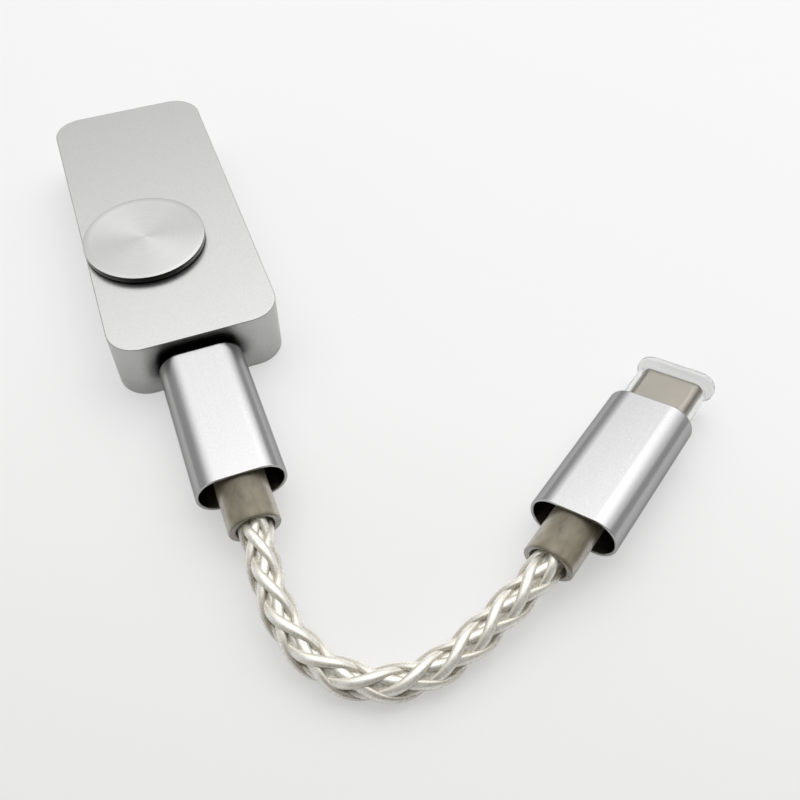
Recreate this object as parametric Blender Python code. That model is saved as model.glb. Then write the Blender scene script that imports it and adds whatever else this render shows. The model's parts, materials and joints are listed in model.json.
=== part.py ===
"""Small USB DAC and headphone amplifier: an aluminium block with a thumb-turned volume disc on top,
a USB-C socket in the front end, a headphone socket in the far end, and a short braided lead.

Frame: origin under the middle of the case, +Z up, +Y along the case towards the headphone socket.
"""
from math import cos, pi, radians, sin

import bmesh
import bpy
from mathutils import Matrix, Vector

MM = 0.001
SIDES = 24  # points round a turned or rounded outline
FINE_SIDES = 72  # points round the large volume disc
END_ROUNDNESS = 0.48  # corner of a rounded slot outline, as a share of its height
CUT_OVER = 1.0 * MM  # how far a cutter runs past the wall it cuts

# --- clearances ---
TOUCH_GAP = 0.3 * MM  # left between pieces that touch when assembled
FIT_GAP = 0.15 * MM  # small sliding fits inside the connectors and the knob
SEAT_GAP = 0.2 * MM  # parts soldered or laid on a surface

# --- case ---
CASE_WIDTH = 23.0 * MM
CASE_LENGTH = 53.6 * MM
CASE_HEIGHT = 9.0 * MM
CASE_CORNER = 4.2 * MM
CASE_EDGE = 0.25 * MM
SIDE_WALL = 1.4 * MM
TOP_WALL = 1.4 * MM
REBATE_LIP = 0.55 * MM  # wall left outside the base plate

# --- base plate and its screws ---
PLATE_THICKNESS = 0.9 * MM
SCREW_SHANK = 1.6 * MM
SCREW_HEAD = 2.7 * MM
SCREW_HEAD_HEIGHT = 0.5 * MM
SCREW_TOP = 5.2 * MM
SCREW_KEY = 1.2 * MM
SCREW_KEY_DEPTH = 0.3 * MM
SCREW_SUNK = 0.1 * MM
SCREW_PILOT_SPARE = 0.5 * MM
SCREW_INSET_X = 3.6 * MM
SCREW_INSET_Y = 3.6 * MM
BOSS_DIAMETER = 3.4 * MM
PAD_DIAMETER = 3.4 * MM

# --- circuit board ---
BOARD_THICKNESS = 0.8 * MM
BOARD_BOTTOM = 1.6 * MM
BOARD_MARGIN = 0.4 * MM
BOARD_CORNER = 2.4 * MM
BOARD_TOP = BOARD_BOTTOM + BOARD_THICKNESS

# --- volume disc and rotary encoder ---
KNOB_DIAMETER = 17.1 * MM
KNOB_THICKNESS = 0.8 * MM
KNOB_LIFT = 0.25 * MM
KNOB_CHAMFER = 0.12 * MM
KNOB_X = (KNOB_DIAMETER - CASE_WIDTH) / 2  # rim flush with the left edge of the case
KNOB_Y = -6.5 * MM
HUB_DIAMETER = 5.6 * MM
SHAFT_DIAMETER = 3.0 * MM
SHAFT_FLAT = 0.5 * MM  # depth of the flat on the D-shaped shaft
ENCODER_WIDTH = 10.6 * MM
ENCODER_BASE_HEIGHT = 1.0 * MM
ENCODER_COVER_WALL = 0.4 * MM
ROTOR_DIAMETER = 8.4 * MM
ROTOR_LIFT = 0.8 * MM
ROTOR_THICKNESS = 0.6 * MM

# --- USB-C connectors ---
TIP_WIDTH = 8.25 * MM
TIP_HEIGHT = 2.4 * MM
TIP_WALL = 0.25 * MM
TIP_EXPOSED = 7.0 * MM
SOCKET_WALL = 0.25 * MM
SOCKET_DEPTH = 7.4 * MM
SOCKET_X = -0.6 * MM
SOCKET_Z = BOARD_TOP + TOUCH_GAP + SOCKET_WALL + TOUCH_GAP + TIP_HEIGHT / 2  # seated on the board
TONGUE_WIDTH = 5.4 * MM
TONGUE_HEIGHT = 0.55 * MM
TONGUE_LENGTH = 4.0 * MM
TONGUE_BLOCK = 0.9 * MM  # thickness of the block that carries the tongue

# --- headphone socket ---
JACK_BORE = 3.7 * MM
JACK_Z = 5.1 * MM
JACK_BODY_WIDTH = 6.4 * MM
JACK_BODY_HEIGHT = 4.8 * MM
JACK_BODY_LENGTH = 12.4 * MM
JACK_RING_DIAMETER = 5.0 * MM
JACK_BACK_WALL = 0.8 * MM
SPRING_WIDTH = 1.2 * MM
SPRING_THICKNESS = 0.2 * MM
SPRING_SLOT = 2.9 * MM
SPRING_DEPTHS = (2.4 * MM, 6.0 * MM, 9.6 * MM)  # sleeve, ring and tip contacts behind the mouth

# --- lead ---
PLUG_WIDTH = 11.4 * MM
PLUG_HEIGHT = 6.35 * MM
PLUG_LENGTH = 21.1 * MM
PLUG_WALL = 0.4 * MM
PLUG_FRONT = 0.8 * MM
PLUG_EDGE = 0.15 * MM
PLUG_CORE_LENGTH = 11.5 * MM
PLUG_POCKET = 4.9 * MM  # how far the tip is let into the core
INSERT_SLOT_FLOOR = 1.4 * MM
PLUG_STANDOFF = 1.1 * MM  # plug shell to case when plugged in
SLEEVE_WIDTH = 6.4 * MM
SLEEVE_HEIGHT = 5.2 * MM
SLEEVE_REACH = 6.0 * MM  # sleeve seen behind the plug shell
CORD_DIAMETER = 4.2 * MM
CORD_CLEARANCE = 0.25 * MM

# --- free plug, lying on the table ---
FAR_PLUG_AT = (51.8 * MM, -56.5 * MM, 3.75 * MM)
FAR_HEADING = radians(56.4)  # from +Y towards +X
FAR_PITCH = radians(-1.9)
FAR_ROLL = radians(-10.7)

# --- protective cap ---
CAP_WALL = 0.4 * MM
CAP_FLANGE_WIDTH = 10.7 * MM
CAP_FLANGE_HEIGHT = 4.65 * MM
CAP_FLANGE_THICKNESS = 0.9 * MM
CAP_FLOOR = 0.2 * MM

# --- route of the lead between the two sleeves, in millimetres ---
FREE_ROUTE = (
    (-0.9, -59.1, 4.2),
    (-1.1, -63.2, 3.8),
    (-0.7, -67.4, 3.3),
    (0.7, -71.3, 2.8),
    (3.1, -74.5, 2.4),
    (6.3, -76.7, 2.2),
    (10.0, -77.6, 2.2),
    (13.9, -77.4, 2.4),
    (17.9, -76.3, 2.9),
    (21.8, -74.8, 3.5),
    (25.6, -73.3, 4.2),
)

for old in list(bpy.data.objects):
    bpy.data.objects.remove(old, do_unlink=True)


def material(name, colour, metallic, roughness, alpha=1.0):
    made = bpy.data.materials.new(name)
    made.use_nodes = True
    shader = made.node_tree.nodes["Principled BSDF"]
    shader.inputs["Base Color"].default_value = (*colour, 1.0)
    shader.inputs["Metallic"].default_value = metallic
    shader.inputs["Roughness"].default_value = roughness
    shader.inputs["Alpha"].default_value = alpha
    made.diffuse_color = (*colour, alpha)
    return made


def circle(diameter, sides=SIDES):
    return [(cos(2 * pi * i / sides) * diameter / 2, sin(2 * pi * i / sides) * diameter / 2)
            for i in range(sides)]


def oval(width, height, sides=SIDES):
    return [(x * width / 2, y * height / 2) for x, y in circle(2.0, sides)]


def rounded(width, height, corner, sides=SIDES):
    """A rectangle with round corners, with as many points as a circle of the same number of sides."""
    points = []
    per_corner = sides // 4
    for quarter in range(4):
        centre_x = (width / 2 - corner) * (1 if quarter in (0, 3) else -1)
        centre_y = (height / 2 - corner) * (1 if quarter in (0, 1) else -1)
        for step in range(per_corner):
            angle = (quarter + step / (per_corner - 1)) * pi / 2
            points.append((centre_x + corner * cos(angle), centre_y + corner * sin(angle)))
    return points


def slot_shape(width, height):
    """The rounded outline of a USB-C connector: nearly a half circle at each end."""
    return rounded(width, height, height * END_ROUNDNESS)


def keyed(diameter, flat, sides=SIDES):
    """A circle with one flat, as on a D-shaped shaft."""
    limit = diameter / 2 - flat
    return [(x, min(y, limit)) for x, y in circle(diameter, sides)]


def hexagon(across_flats, sides=SIDES):
    """A hexagon sampled at the points of a circle."""
    points = []
    for i in range(sides):
        angle = 2 * pi * i / sides
        turn = (angle + pi / 6) % (pi / 3) - pi / 6
        reach = across_flats / 2 / cos(turn)
        points.append((reach * cos(angle), reach * sin(angle)))
    return points


def add_object(name, mesh, look, parent=None, at=(0, 0, 0), turn=(0, 0, 0)):
    made = bpy.data.objects.new(name, mesh)
    bpy.context.collection.objects.link(made)
    mesh.materials.append(look)
    made.parent = parent
    made.location = at
    made.rotation_euler = turn
    return made


def loft(name, rings, look, closed=False, **place):
    """A solid skinned through (outline, height) rings, ends capped, or joined last to first."""
    work = bmesh.new()
    loops = [[work.verts.new((x, y, height)) for x, y in outline] for outline, height in rings]
    pairs = list(zip(loops, loops[1:]))
    if closed:
        pairs.append((loops[-1], loops[0]))
    count = len(loops[0])
    for lower, upper in pairs:
        for i in range(count):
            j = (i + 1) % count
            work.faces.new((lower[i], lower[j], upper[j], upper[i]))
    if not closed:
        work.faces.new(list(reversed(loops[0])))
        work.faces.new(loops[-1])
    bmesh.ops.recalc_face_normals(work, faces=work.faces)
    mesh = bpy.data.meshes.new(name)
    work.to_mesh(mesh)
    work.free()
    return add_object(name, mesh, look, **place)


def strip(name, path, thickness, width, look, **place):
    """A flat spring bent along a path in its own XY plane, with its width along Z."""
    sides = ([], [])
    for i, point in enumerate(path):
        before = Vector(path[max(i - 1, 0)])
        after = Vector(path[min(i + 1, len(path) - 1)])
        along = (after - before).normalized()
        across = Vector((-along.y, along.x)) * thickness / 2
        sides[0].append(tuple(Vector(point) + across))
        sides[1].append(tuple(Vector(point) - across))
    outline = sides[1] + list(reversed(sides[0]))
    return loft(name, [(outline, -width / 2), (outline, width / 2)], look, **place)


def shape(target, tool, operation):
    """Join or cut the target with a hidden tool piece."""
    tool.hide_render = True
    tool.display_type = "WIRE"
    step = target.modifiers.new(tool.name, "BOOLEAN")
    step.operation = operation
    step.solver = "EXACT"
    step.object = tool


def post(name, diameter, bottom, top, at=(0, 0, 0), turn=(0, 0, 0)):
    """A plain round tool for joining or cutting."""
    outline = circle(diameter)
    return loft(name, [(outline, bottom), (outline, top)], tool_look, at=at, turn=turn)


tool_look = material("tool", (0.8, 0.2, 0.2), 0.0, 0.5)
blasted_aluminium = material("blasted_aluminium", (0.80, 0.80, 0.79), 1.0, 0.42)
spun_aluminium = material("spun_aluminium", (0.84, 0.84, 0.83), 1.0, 0.28)
satin_aluminium = material("satin_aluminium", (0.82, 0.82, 0.82), 1.0, 0.30)
plate_metal = material("plate_aluminium", (0.72, 0.72, 0.72), 1.0, 0.45)
steel = material("stainless_steel", (0.66, 0.65, 0.62), 1.0, 0.30)
screw_steel = material("black_screw_steel", (0.10, 0.10, 0.11), 1.0, 0.45)
spring_bronze = material("gold_plated_bronze", (0.83, 0.62, 0.28), 1.0, 0.30)
board_green = material("solder_mask", (0.02, 0.16, 0.09), 0.0, 0.40)
chip_black = material("chip_black", (0.03, 0.03, 0.035), 0.0, 0.55)
can_metal = material("crystal_can", (0.70, 0.69, 0.66), 1.0, 0.35)
capacitor_yellow = material("capacitor_yellow", (0.78, 0.52, 0.10), 0.0, 0.45)
ferrite_grey = material("ferrite_grey", (0.12, 0.12, 0.13), 0.0, 0.60)
black_plastic = material("black_plastic", (0.03, 0.03, 0.03), 0.0, 0.50)
smoke_sleeve = material("smoke_sleeve", (0.30, 0.27, 0.21), 0.0, 0.35)
clear_cap = material("clear_cap", (0.88, 0.89, 0.88), 0.0, 0.30)
silver_braid = material("silver_braid", (0.80, 0.78, 0.72), 0.6, 0.40)

# ---------------------------------------------------------------- case
case_outline = rounded(CASE_WIDTH, CASE_LENGTH, CASE_CORNER, 48)
case_edge_outline = rounded(CASE_WIDTH - 2 * CASE_EDGE, CASE_LENGTH - 2 * CASE_EDGE,
                            CASE_CORNER - CASE_EDGE, 48)
cavity_outline = rounded(CASE_WIDTH - 2 * SIDE_WALL, CASE_LENGTH - 2 * SIDE_WALL,
                         CASE_CORNER - SIDE_WALL, 48)
rebate_outline = rounded(CASE_WIDTH - 2 * REBATE_LIP, CASE_LENGTH - 2 * REBATE_LIP,
                         CASE_CORNER - REBATE_LIP, 48)
cavity_top = CASE_HEIGHT - TOP_WALL
rebate_height = PLATE_THICKNESS + TOUCH_GAP
case_shell = loft(
    "case_shell",
    [(cavity_outline, cavity_top), (cavity_outline, rebate_height), (rebate_outline, rebate_height),
     (rebate_outline, 0), (case_outline, 0), (case_outline, CASE_HEIGHT - CASE_EDGE),
     (case_edge_outline, CASE_HEIGHT)],
    blasted_aluminium)

screw_places = [(side * (CASE_WIDTH / 2 - SCREW_INSET_X), end * (CASE_LENGTH / 2 - SCREW_INSET_Y))
                for end in (-1, 1) for side in (-1, 1)]
boss_bottom = BOARD_TOP + TOUCH_GAP
boss_sink = TOP_WALL / 2
pilot_bottom = boss_bottom - CUT_OVER
pilot_top = SCREW_TOP + SCREW_PILOT_SPARE
for number, (x, y) in enumerate(screw_places, 1):
    boss = post(f"boss_tool_{number}", BOSS_DIAMETER, boss_bottom, cavity_top + boss_sink, at=(x, y, 0))
    shape(case_shell, boss, "UNION")
for number, (x, y) in enumerate(screw_places, 1):
    pilot = post(f"pilot_tool_{number}", SCREW_SHANK + 2 * FIT_GAP, pilot_bottom, pilot_top, at=(x, y, 0))
    shape(case_shell, pilot, "DIFFERENCE")

# USB-C socket shell: the plug's tip enters it with a small gap all round
socket_inner_width = TIP_WIDTH + 2 * TOUCH_GAP
socket_inner_height = TIP_HEIGHT + 2 * TOUCH_GAP
socket_inner = slot_shape(socket_inner_width, socket_inner_height)
socket_width = socket_inner_width + 2 * SOCKET_WALL
socket_height = socket_inner_height + 2 * SOCKET_WALL
socket_outer = slot_shape(socket_width, socket_height)
socket_hole = slot_shape(socket_width + 2 * FIT_GAP, socket_height + 2 * FIT_GAP)
TOWARDS_JACK = (-pi / 2, 0, 0)  # local +Z along world +Y
front_face = -CASE_LENGTH / 2
shape(case_shell,
      loft("socket_hole_tool", [(socket_hole, -CUT_OVER), (socket_hole, SIDE_WALL + CUT_OVER)],
           tool_look, at=(SOCKET_X, front_face, SOCKET_Z), turn=TOWARDS_JACK), "DIFFERENCE")
shape(case_shell,
      post("jack_hole_tool", JACK_RING_DIAMETER + 2 * SEAT_GAP, -SIDE_WALL - CUT_OVER, CUT_OVER,
           at=(0, -front_face, JACK_Z), turn=TOWARDS_JACK), "DIFFERENCE")
hub_hole = HUB_DIAMETER + 2 * TOUCH_GAP
shape(case_shell,
      post("hub_hole_tool", hub_hole, cavity_top - CUT_OVER, CASE_HEIGHT + CUT_OVER,
           at=(KNOB_X, KNOB_Y, 0)), "DIFFERENCE")

# ---------------------------------------------------------------- base plate
plate_inset = REBATE_LIP + FIT_GAP
plate_outline = rounded(CASE_WIDTH - 2 * plate_inset, CASE_LENGTH - 2 * plate_inset,
                        CASE_CORNER - plate_inset, 48)
base_plate = loft("base_plate", [(plate_outline, 0), (plate_outline, PLATE_THICKNESS)], plate_metal)
pad_top = BOARD_BOTTOM - TOUCH_GAP
sunk_depth = SCREW_SUNK + SCREW_HEAD_HEIGHT + SEAT_GAP / 2
head_hole = circle(SCREW_HEAD + 2 * SEAT_GAP)
shank_hole = circle(SCREW_SHANK + 2 * SEAT_GAP)
for number, (x, y) in enumerate(screw_places, 1):
    pad = post(f"pad_tool_{number}", PAD_DIAMETER, PLATE_THICKNESS / 2, pad_top, at=(x, y, 0))
    shape(base_plate, pad, "UNION")
for number, (x, y) in enumerate(screw_places, 1):
    sink = loft(f"sink_tool_{number}",
                [(head_hole, -CUT_OVER), (head_hole, sunk_depth), (shank_hole, sunk_depth),
                 (shank_hole, pad_top + CUT_OVER)],
                tool_look, at=(x, y, 0))
    shape(base_plate, sink, "DIFFERENCE")
    loft(f"base_screw_{number}",
         [(hexagon(SCREW_KEY), SCREW_SUNK + SCREW_KEY_DEPTH), (hexagon(SCREW_KEY), SCREW_SUNK),
          (circle(SCREW_HEAD), SCREW_SUNK), (circle(SCREW_HEAD), SCREW_SUNK + SCREW_HEAD_HEIGHT),
          (circle(SCREW_SHANK), SCREW_SUNK + SCREW_HEAD_HEIGHT), (circle(SCREW_SHANK), SCREW_TOP)],
         screw_steel, at=(x, y, 0))

# ---------------------------------------------------------------- circuit board and its parts
board_outline = rounded(CASE_WIDTH - 2 * SIDE_WALL - 2 * BOARD_MARGIN,
                        CASE_LENGTH - 2 * SIDE_WALL - 2 * BOARD_MARGIN, BOARD_CORNER)
circuit_board = loft("circuit_board", [(board_outline, BOARD_BOTTOM), (board_outline, BOARD_TOP)],
                     board_green)
for number, (x, y) in enumerate(screw_places, 1):
    hole = post(f"board_hole_tool_{number}", SCREW_SHANK + 2 * TOUCH_GAP, BOARD_BOTTOM - CUT_OVER,
                BOARD_TOP + CUT_OVER, at=(x, y, 0))
    shape(circuit_board, hole, "DIFFERENCE")

# name, width along X, length along Y, height, x, y, look (sizes in millimetres)
BOARD_PARTS = (
    ("dac_chip", 6.0, 6.0, 0.9, -2.4, 4.8, chip_black),
    ("headphone_amp_chip", 4.0, 4.0, 0.8, 4.8, 8.2, chip_black),
    ("usb_bridge_chip", 4.5, 4.5, 0.8, 6.4, -9.5, chip_black),
    ("audio_crystal", 3.2, 2.5, 0.8, 4.6, 2.2, can_metal),
    ("usb_crystal", 3.2, 2.5, 0.8, 6.4, -15.4, can_metal),
    ("output_capacitor_1", 2.8, 3.5, 1.9, -6.6, 14.4, capacitor_yellow),
    ("output_capacitor_2", 2.8, 3.5, 1.9, -6.6, 19.0, capacitor_yellow),
    ("supply_capacitor_1", 2.8, 3.5, 1.9, 6.6, 14.4, capacitor_yellow),
    ("supply_capacitor_2", 2.8, 3.5, 1.9, 6.6, 19.0, capacitor_yellow),
    ("power_inductor", 3.0, 3.0, 1.5, -6.8, -15.6, ferrite_grey),
)
PART_CORNER = 0.25 * MM
part_bottom = BOARD_TOP + SEAT_GAP
for name, width, length, height, x, y, look in BOARD_PARTS:
    width, length, height = width * MM, length * MM, height * MM
    body = rounded(width, length, PART_CORNER)
    crown = rounded(width - PART_CORNER, length - PART_CORNER, PART_CORNER / 2)
    loft(name, [(body, 0), (body, height - PART_CORNER / 2), (crown, height)], look,
         at=(x * MM, y * MM, part_bottom))

loft("usb_socket_shell",
     [(socket_outer, 0), (socket_outer, SOCKET_DEPTH), (socket_inner, SOCKET_DEPTH), (socket_inner, 0)],
     steel, closed=True, at=(SOCKET_X, front_face, SOCKET_Z), turn=TOWARDS_JACK)
block_outline = slot_shape(socket_inner_width - 2 * FIT_GAP, socket_inner_height - 2 * FIT_GAP)
tongue_outline = rounded(TONGUE_WIDTH, TONGUE_HEIGHT, 0.1 * MM)
tongue_root = SOCKET_DEPTH - TONGUE_BLOCK
loft("usb_socket_tongue",
     [(tongue_outline, tongue_root - TONGUE_LENGTH), (tongue_outline, tongue_root),
      (block_outline, tongue_root), (block_outline, SOCKET_DEPTH)],
     black_plastic, at=(SOCKET_X, front_face, SOCKET_Z), turn=TOWARDS_JACK)

# ---------------------------------------------------------------- headphone socket
jack_mouth = CASE_LENGTH / 2 - SIDE_WALL - TOUCH_GAP
jack_outline = rounded(JACK_BODY_WIDTH, JACK_BODY_HEIGHT, 0.4 * MM)
jack_body = loft(
    "audio_jack_body",
    [(circle(JACK_BORE), JACK_BACK_WALL - JACK_BODY_LENGTH), (circle(JACK_BORE), 0), (jack_outline, 0),
     (jack_outline, -JACK_BODY_LENGTH)],
    black_plastic, at=(0, jack_mouth, JACK_Z), turn=TOWARDS_JACK)
loft("jack_ring",
     [(circle(JACK_RING_DIAMETER), TOUCH_GAP), (circle(JACK_RING_DIAMETER), SIDE_WALL + TOUCH_GAP),
      (circle(JACK_BORE), SIDE_WALL + TOUCH_GAP), (circle(JACK_BORE), TOUCH_GAP)],
     steel, closed=True, at=(0, jack_mouth, JACK_Z), turn=TOWARDS_JACK)

spring_path = [(-1.1 * MM, 0.0), (-0.3 * MM, 0.0), (0.45 * MM, 0.75 * MM), (1.1 * MM, 0.35 * MM)]
for name, depth in zip(("jack_sleeve_contact", "jack_ring_contact", "jack_tip_contact"), SPRING_DEPTHS):
    at_y = jack_mouth - depth
    slot_outline = rounded(SPRING_WIDTH + 2 * TOUCH_GAP, SPRING_SLOT, 0.1 * MM)
    shape(jack_body,
          loft(name + "_slot_tool", [(slot_outline, -CUT_OVER), (slot_outline, JACK_BODY_HEIGHT / 2)],
               tool_look, at=(0, at_y, JACK_Z - JACK_BODY_HEIGHT / 2)), "DIFFERENCE")
    strip(name, spring_path, SPRING_THICKNESS, SPRING_WIDTH, spring_bronze,
          at=(0, at_y, JACK_Z - JACK_BODY_HEIGHT / 2 + SEAT_GAP), turn=(pi / 2, 0, pi / 2))

# ---------------------------------------------------------------- encoder and volume disc
knob_bottom = CASE_HEIGHT + KNOB_LIFT
encoder_bottom = part_bottom
cover_bottom = encoder_bottom + ENCODER_BASE_HEIGHT + SEAT_GAP
cover_top = cavity_top - 2 * SEAT_GAP
encoder_square = rounded(ENCODER_WIDTH, ENCODER_WIDTH, 0.5 * MM)
cover_inner_width = ENCODER_WIDTH - 2 * ENCODER_COVER_WALL
cover_inner = rounded(cover_inner_width, cover_inner_width, 0.3 * MM)
loft("encoder_base", [(encoder_square, 0), (encoder_square, ENCODER_BASE_HEIGHT)], black_plastic,
     at=(KNOB_X, KNOB_Y, encoder_bottom))
cover_height = cover_top - cover_bottom
cover_hole = circle(SHAFT_DIAMETER + 2 * TOUCH_GAP)
loft("encoder_cover",
     [(encoder_square, 0), (encoder_square, cover_height), (cover_hole, cover_height),
      (cover_hole, cover_height - ENCODER_COVER_WALL), (cover_inner, cover_height - ENCODER_COVER_WALL),
      (cover_inner, 0)],
     steel, closed=True, at=(KNOB_X, KNOB_Y, cover_bottom))

knob_axis = bpy.data.objects.new("knob_axis", None)
bpy.context.collection.objects.link(knob_axis)
knob_axis.location = (KNOB_X, KNOB_Y, 0)
shaft_outline = keyed(SHAFT_DIAMETER, SHAFT_FLAT)
shaft_bore = keyed(SHAFT_DIAMETER + 2 * FIT_GAP, SHAFT_FLAT)
shaft_bottom = cover_bottom + SEAT_GAP
shaft_top = knob_bottom - TOUCH_GAP
loft("knob_shaft", [(shaft_outline, shaft_bottom), (shaft_outline, shaft_top)], steel, parent=knob_axis)
rotor_bottom = cover_bottom + ROTOR_LIFT
rotor_top = rotor_bottom + ROTOR_THICKNESS
loft("encoder_rotor",
     [(circle(ROTOR_DIAMETER), rotor_bottom), (circle(ROTOR_DIAMETER), rotor_top),
      (shaft_bore, rotor_top), (shaft_bore, rotor_bottom)],
     spring_bronze, closed=True, parent=knob_axis)


def fine(outline_maker, *sizes):
    return outline_maker(*sizes, FINE_SIDES)


knob_top = knob_bottom + KNOB_THICKNESS
hub_bottom = cover_top + 2 * SEAT_GAP
loft("volume_knob",
     [(fine(keyed, SHAFT_DIAMETER + 2 * FIT_GAP, SHAFT_FLAT), knob_bottom),
      (fine(keyed, SHAFT_DIAMETER + 2 * FIT_GAP, SHAFT_FLAT), hub_bottom),
      (fine(circle, HUB_DIAMETER), hub_bottom),
      (fine(circle, HUB_DIAMETER), knob_bottom),
      (fine(circle, KNOB_DIAMETER - 2 * KNOB_CHAMFER), knob_bottom),
      (fine(circle, KNOB_DIAMETER), knob_bottom + KNOB_CHAMFER),
      (fine(circle, KNOB_DIAMETER), knob_top - KNOB_CHAMFER),
      (fine(circle, KNOB_DIAMETER - 2 * KNOB_CHAMFER), knob_top)],
     spun_aluminium, parent=knob_axis)


# ---------------------------------------------------------------- the two plugs of the lead
def usb_plug(prefix, at, turn):
    """One plug: local +Z runs towards its tip, and local zero is the front of its shell."""
    axis = bpy.data.objects.new(prefix + "_plug_axis", None)
    bpy.context.collection.objects.link(axis)
    axis.location = at
    axis.rotation_euler = turn
    tip_hole = slot_shape(TIP_WIDTH + 2 * TOUCH_GAP, TIP_HEIGHT + 2 * TOUCH_GAP)
    tip_outer = slot_shape(TIP_WIDTH, TIP_HEIGHT)
    tip_inner = slot_shape(TIP_WIDTH - 2 * TIP_WALL, TIP_HEIGHT - 2 * TIP_WALL)
    insert_outer = slot_shape(TIP_WIDTH - 2 * TIP_WALL - 2 * FIT_GAP, TIP_HEIGHT - 2 * TIP_WALL - 2 * FIT_GAP)
    insert_slot = rounded(TONGUE_WIDTH + 4 * FIT_GAP, TONGUE_HEIGHT + 2 * FIT_GAP, 0.1 * MM)
    outside = slot_shape(PLUG_WIDTH, PLUG_HEIGHT)
    outside_edge = rounded(PLUG_WIDTH - 2 * PLUG_EDGE, PLUG_HEIGHT - 2 * PLUG_EDGE,
                           PLUG_HEIGHT * END_ROUNDNESS - PLUG_EDGE)
    inside_height = PLUG_HEIGHT - 2 * PLUG_WALL
    inside = slot_shape(PLUG_WIDTH - 2 * PLUG_WALL, inside_height)
    loft(prefix + "_plug_shell",
         [(inside, -PLUG_LENGTH), (outside, -PLUG_LENGTH), (outside, -PLUG_EDGE), (outside_edge, 0),
          (tip_hole, 0), (tip_hole, -PLUG_FRONT), (inside, -PLUG_FRONT)],
         satin_aluminium, closed=True, parent=axis)
    core_height = inside_height - 2 * SEAT_GAP
    core = slot_shape(PLUG_WIDTH - 2 * PLUG_WALL - 2 * SEAT_GAP, core_height)
    core_front = -PLUG_FRONT - TOUCH_GAP
    core_back = core_front - PLUG_CORE_LENGTH
    pocket_floor = core_front - PLUG_POCKET
    loft(prefix + "_plug_core",
         [(tip_hole, pocket_floor), (tip_hole, core_front), (core, core_front), (core, core_back)],
         black_plastic, parent=axis)
    tip_back = pocket_floor + TOUCH_GAP
    loft(prefix + "_plug_tip",
         [(tip_outer, tip_back), (tip_outer, TIP_EXPOSED), (tip_inner, TIP_EXPOSED), (tip_inner, tip_back)],
         steel, closed=True, parent=axis)
    insert_front = TIP_EXPOSED - TOUCH_GAP
    loft(prefix + "_plug_insert",
         [(insert_slot, INSERT_SLOT_FLOOR), (insert_slot, insert_front), (insert_outer, insert_front),
          (insert_outer, tip_back + TOUCH_GAP)],
         black_plastic, parent=axis)
    sleeve_bore = circle(CORD_DIAMETER + 2 * CORD_CLEARANCE)
    sleeve_outer = oval(SLEEVE_WIDTH, SLEEVE_HEIGHT)
    sleeve_front = core_back - TOUCH_GAP
    sleeve_back = -PLUG_LENGTH - SLEEVE_REACH
    loft(prefix + "_sleeve",
         [(sleeve_outer, sleeve_back), (sleeve_outer, sleeve_front), (sleeve_bore, sleeve_front),
          (sleeve_bore, sleeve_back)],
         smoke_sleeve, closed=True, parent=axis)
    place = Matrix.Translation(at) @ turn.to_matrix().to_4x4()
    sleeve_length = sleeve_front - sleeve_back
    depths = [sleeve_front - sleeve_length * i / 3 for i in range(4)]
    return axis, [place @ Vector((0, 0, depth)) for depth in depths]


near_turn = Matrix.Rotation(-pi / 2, 4, "X").to_euler()
near_axis, near_run = usb_plug("near", (SOCKET_X, front_face - PLUG_STANDOFF, SOCKET_Z), near_turn)
far_turn = (Matrix.Rotation(-FAR_HEADING, 4, "Z") @ Matrix.Rotation(FAR_PITCH - pi / 2, 4, "X")
            @ Matrix.Rotation(FAR_ROLL, 4, "Z")).to_euler()
far_axis, far_run = usb_plug("far", FAR_PLUG_AT, far_turn)

# ---------------------------------------------------------------- cap over the free plug's tip
cap_bore = slot_shape(TIP_WIDTH + 2 * SEAT_GAP, TIP_HEIGHT + 2 * SEAT_GAP)
cap_sleeve = slot_shape(TIP_WIDTH + 2 * SEAT_GAP + 2 * CAP_WALL, TIP_HEIGHT + 2 * SEAT_GAP + 2 * CAP_WALL)
cap_flange = slot_shape(CAP_FLANGE_WIDTH, CAP_FLANGE_HEIGHT)
cap_floor = TIP_EXPOSED + TOUCH_GAP
flange_under = cap_floor + CAP_FLOOR
loft("tip_cap",
     [(cap_bore, cap_floor), (cap_bore, TOUCH_GAP), (cap_sleeve, TOUCH_GAP), (cap_sleeve, flange_under),
      (cap_flange, flange_under), (cap_flange, flange_under + CAP_FLANGE_THICKNESS)],
     clear_cap, parent=far_axis)

# ---------------------------------------------------------------- braided lead
route = near_run + [Vector(point) * MM for point in FREE_ROUTE] + list(reversed(far_run))
STEPS_BETWEEN = 2  # centre points read from the smooth curve between two route points


def on_smooth_curve(before, start, end, after, part):
    """A point of the Catmull-Rom curve from start to end."""
    return 0.5 * (2 * start + (end - before) * part
                  + (2 * before - 5 * start + 4 * end - after) * part ** 2
                  + (3 * start - before - 3 * end + after) * part ** 3)


padded = [2 * route[0] - route[1], *route, 2 * route[-1] - route[-2]]
centre_line = []
for i in range(1, len(padded) - 2):
    for step in range(STEPS_BETWEEN):
        centre_line.append(on_smooth_curve(*padded[i - 1:i + 3], step / STEPS_BETWEEN))
centre_line.append(padded[-2])

lead = bpy.data.curves.new("braided_cord", "CURVE")
lead.dimensions = "3D"
lead.bevel_depth = CORD_DIAMETER / 2
lead.bevel_resolution = 3
lead.use_fill_caps = True
lead.resolution_u = 1
lead.render_resolution_u = 0
spline = lead.splines.new("POLY")
spline.points.add(len(centre_line) - 1)
for spot, position in zip(spline.points, centre_line):
    spot.co = (*position, 1.0)
add_object("braided_cord", lead, silver_braid)
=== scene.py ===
# %% [markdown]
# # A pocket USB-C headphone amplifier on a pale table
#
# The object is a milled aluminium block the size of a thumb, with a flat volume disc on its top and a
# short braided lead that has a USB-C plug at each end. This lesson dresses a finished mechanical model:
# every node of it is already in place, in metres, with +Z up and the block lying along the Y axis. Each
# step adds one piece or one finish, and prints what it made.

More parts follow.
